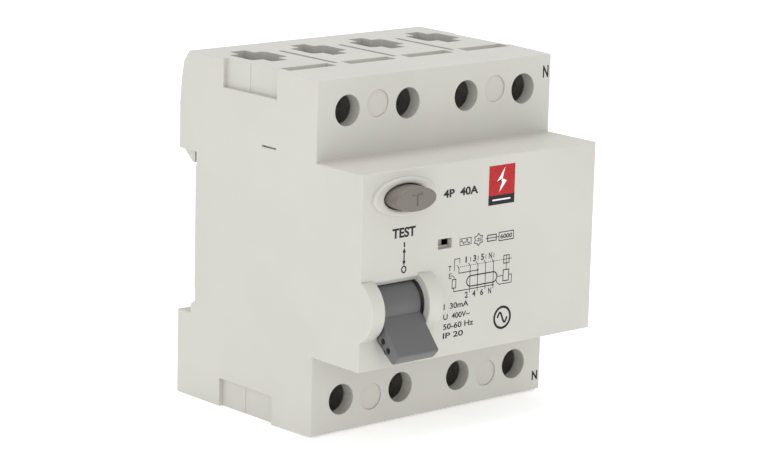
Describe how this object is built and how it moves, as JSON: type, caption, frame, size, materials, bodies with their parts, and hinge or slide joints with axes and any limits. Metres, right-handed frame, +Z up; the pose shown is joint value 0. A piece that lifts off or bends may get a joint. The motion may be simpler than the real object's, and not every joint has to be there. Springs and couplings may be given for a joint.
{
  "type": "residual current device",
  "caption": "Rail-mounted residual current device with toggle lever, test button, screw terminals in front and cable entries at both ends.",
  "frame": {"origin": "on the rail seat at the back, at the centre of the width and of the rail's height", "axes": "+X across the poles to the right seen from the front, +Y out of the seat into the rail, +Z up with the line terminals at the top"},
  "size_m": [0.072, 0.0753, 0.0832],
  "materials": {
    "shell": "moulded, fine matt grain",
    "steel": "plain steel",
    "lever": "satin moulded",
    "button": "satin moulded",
    "black_moulding": "matt",
    "cream_moulding": "matt",
    "flag": "matt",
    "copper": "bare copper, satin",
    "wire_insulation": "satin",
    "core": "lacquered",
    "winding": "enamelled copper",
    "spring_brass": "satin",
    "resistor": "lacquered",
    "zinc_steel": "zinc plated, satin"
  },
  "bodies": {
    "housing": {"base_housing": "shell", "front_cover": "shell", "case_screws": "steel", "hole_plugs": "shell", "lever_pin": "steel", "mechanism_frame": "steel", "line_bar_1": "copper", "line_bar_2": "copper", "line_bar_3": "copper", "line_bar_n": "copper", "load_bar_1": "copper", "load_bar_2": "copper", "load_bar_3": "copper", "load_bar_n": "copper", "conductor_1": "wire_insulation", "conductor_2": "wire_insulation", "conductor_3": "wire_insulation", "conductor_n": "wire_insulation", "toroid_core": "core", "toroid_winding": "winding", "relay_case": "black_moulding", "test_spring": "steel", "test_blade": "spring_brass", "test_resistor": "resistor", "arc_chutes": "steel", "clip_spring_left": "steel", "clip_spring_right": "steel"},
    "lever": {"toggle_lever": "lever", "lever_spring": "steel"},
    "link": {"drive_link": "steel"},
    "carrier": {"contact_carrier": "black_moulding", "contact_springs": "steel", "moving_contact_1": "copper", "moving_contact_2": "copper", "moving_contact_3": "copper", "moving_contact_n": "copper"},
    "flag": {"indicator_flag": "flag"},
    "plunger": {"relay_plunger": "steel"},
    "trip_bar": {"trip_bar": "cream_moulding"},
    "latch": {"latch": "steel"},
    "button": {"test_button": "button"},
    "clip_left": {"rail_clip_left": "shell"},
    "clip_right": {"rail_clip_right": "shell"},
    "line_screw_1": {"line_screw_1": "zinc_steel"},
    "line_screw_2": {"line_screw_2": "zinc_steel"},
    "line_screw_3": {"line_screw_3": "zinc_steel"},
    "line_screw_n": {"line_screw_n": "zinc_steel"},
    "load_screw_1": {"load_screw_1": "zinc_steel"},
    "load_screw_2": {"load_screw_2": "zinc_steel"},
    "load_screw_3": {"load_screw_3": "zinc_steel"},
    "load_screw_n": {"load_screw_n": "zinc_steel"},
    "line_cage_1": {"line_cage_1": "zinc_steel"},
    "line_cage_2": {"line_cage_2": "zinc_steel"},
    "line_cage_3": {"line_cage_3": "zinc_steel"},
    "line_cage_n": {"line_cage_n": "zinc_steel"},
    "load_cage_1": {"load_cage_1": "zinc_steel"},
    "load_cage_2": {"load_cage_2": "zinc_steel"},
    "load_cage_3": {"load_cage_3": "zinc_steel"},
    "load_cage_n": {"load_cage_n": "zinc_steel"}
  },
  "joints": [
    {"name": "lever_toggle", "type": "hinge", "parent": "housing", "child": "lever", "pos_m": [-0.0257, -0.0571, -0.0087], "axis": [-1, 0, 0], "range_deg": [0, 84]},
    {"name": "link_pivot", "type": "hinge", "parent": "lever", "child": "link", "pos_m": [-0.01935, -0.0597, -0.0072], "axis": [-1, 0, 0], "range_deg": [-83.5, 0]},
    {"name": "carrier_turn", "type": "hinge", "parent": "housing", "child": "carrier", "pos_m": [0, -0.0215, -0.003], "axis": [-1, 0, 0], "range_deg": [0, 24.2]},
    {"name": "flag_slide", "type": "slide", "parent": "housing", "child": "flag", "axis": [0, 0, 1], "range_m": [0, 0.0041]},
    {"name": "relay_plunger_slide", "type": "slide", "parent": "housing", "child": "plunger", "axis": [0, 0, 1], "range_m": [0, 0.0012], "stiffness_N_per_m": 150, "springref_m": -0.0005},
    {"name": "trip_bar_turn", "type": "hinge", "parent": "housing", "child": "trip_bar", "pos_m": [0, -0.046, 0.006], "axis": [-1, 0, 0], "range_deg": [0, 17]},
    {"name": "latch_turn", "type": "hinge", "parent": "housing", "child": "latch", "pos_m": [-0.0148, -0.039, 0.015], "axis": [1, 0, 0], "range_deg": [0, 12.2]},
    {"name": "test_press", "type": "slide", "parent": "housing", "child": "button", "axis": [0, 1, 0], "range_m": [0, 0.0025], "stiffness_N_per_m": 400, "springref_m": -0.001, "deforming": ["test_spring"]},
    {"name": "clip_slide_left", "type": "slide", "parent": "housing", "child": "clip_left", "axis": [0, 0, -1], "range_m": [0, 0.0035], "stiffness_N_per_m": 800, "springref_m": -0.001, "deforming": ["clip_spring_left"]},
    {"name": "clip_slide_right", "type": "slide", "parent": "housing", "child": "clip_right", "axis": [0, 0, -1], "range_m": [0, 0.0035], "stiffness_N_per_m": 800, "springref_m": -0.001, "deforming": ["clip_spring_right"]},
    {"name": "line_screw_1_turn", "type": "hinge", "parent": "housing", "child": "line_screw_1", "pos_m": [-0.027, -0.034, 0.0336], "axis": [0, 1, 0], "range_deg": [0, 3618]},
    {"name": "line_cage_1_lift", "type": "slide", "parent": "housing", "child": "line_cage_1", "axis": [0, -1, 0], "range_m": [0, 0.01]},
    {"name": "line_screw_2_turn", "type": "hinge", "parent": "housing", "child": "line_screw_2", "pos_m": [-0.009, -0.034, 0.0336], "axis": [0, 1, 0], "range_deg": [0, 3618]},
    {"name": "line_cage_2_lift", "type": "slide", "parent": "housing", "child": "line_cage_2", "axis": [0, -1, 0], "range_m": [0, 0.01]},
    {"name": "line_screw_3_turn", "type": "hinge", "parent": "housing", "child": "line_screw_3", "pos_m": [0.009, -0.034, 0.0336], "axis": [0, 1, 0], "range_deg": [0, 3618]},
    {"name": "line_cage_3_lift", "type": "slide", "parent": "housing", "child": "line_cage_3", "axis": [0, -1, 0], "range_m": [0, 0.01]},
    {"name": "line_screw_n_turn", "type": "hinge", "parent": "housing", "child": "line_screw_n", "pos_m": [0.027, -0.034, 0.0336], "axis": [0, 1, 0], "range_deg": [0, 3618]},
    {"name": "line_cage_n_lift", "type": "slide", "parent": "housing", "child": "line_cage_n", "axis": [0, -1, 0], "range_m": [0, 0.01]},
    {"name": "load_screw_1_turn", "type": "hinge", "parent": "housing", "child": "load_screw_1", "pos_m": [-0.027, -0.034, -0.0336], "axis": [0, 1, 0], "range_deg": [0, 3618]},
    {"name": "load_cage_1_lift", "type": "slide", "parent": "housing", "child": "load_cage_1", "axis": [0, -1, 0], "range_m": [0, 0.01]},
    {"name": "load_screw_2_turn", "type": "hinge", "parent": "housing", "child": "load_screw_2", "pos_m": [-0.009, -0.034, -0.0336], "axis": [0, 1, 0], "range_deg": [0, 3618]},
    {"name": "load_cage_2_lift", "type": "slide", "parent": "housing", "child": "load_cage_2", "axis": [0, -1, 0], "range_m": [0, 0.01]},
    {"name": "load_screw_3_turn", "type": "hinge", "parent": "housing", "child": "load_screw_3", "pos_m": [0.009, -0.034, -0.0336], "axis": [0, 1, 0], "range_deg": [0, 3618]},
    {"name": "load_cage_3_lift", "type": "slide", "parent": "housing", "child": "load_cage_3", "axis": [0, -1, 0], "range_m": [0, 0.01]},
    {"name": "load_screw_n_turn", "type": "hinge", "parent": "housing", "child": "load_screw_n", "pos_m": [0.027, -0.034, -0.0336], "axis": [0, 1, 0], "range_deg": [0, 3618]},
    {"name": "load_cage_n_lift", "type": "slide", "parent": "housing", "child": "load_cage_n", "axis": [0, -1, 0], "range_m": [0, 0.01]}
  ],
  "couplings": [
    {"joint": "link_pivot", "follows": "lever_toggle", "ratio": -0.9869},
    {"joint": "carrier_turn", "follows": "lever_toggle", "ratio": 0.28571},
    {"joint": "flag_slide", "follows": "lever_toggle", "m_per_rad": 0.0027284},
    {"joint": "trip_bar_turn", "follows": "relay_plunger_slide", "rad_per_m": 242.89},
    {"joint": "latch_turn", "follows": "relay_plunger_slide", "rad_per_m": 174.53},
    {"joint": "line_screw_1_turn", "follows": "line_cage_1_lift", "rad_per_m": 6283.2},
    {"joint": "line_screw_2_turn", "follows": "line_cage_2_lift", "rad_per_m": 6283.2},
    {"joint": "line_screw_3_turn", "follows": "line_cage_3_lift", "rad_per_m": 6283.2},
    {"joint": "line_screw_n_turn", "follows": "line_cage_n_lift", "rad_per_m": 6283.2},
    {"joint": "load_screw_1_turn", "follows": "load_cage_1_lift", "rad_per_m": 6283.2},
    {"joint": "load_screw_2_turn", "follows": "load_cage_2_lift", "rad_per_m": 6283.2},
    {"joint": "load_screw_3_turn", "follows": "load_cage_3_lift", "rad_per_m": 6283.2},
    {"joint": "load_screw_n_turn", "follows": "load_cage_n_lift", "rad_per_m": 6283.2}
  ]
}
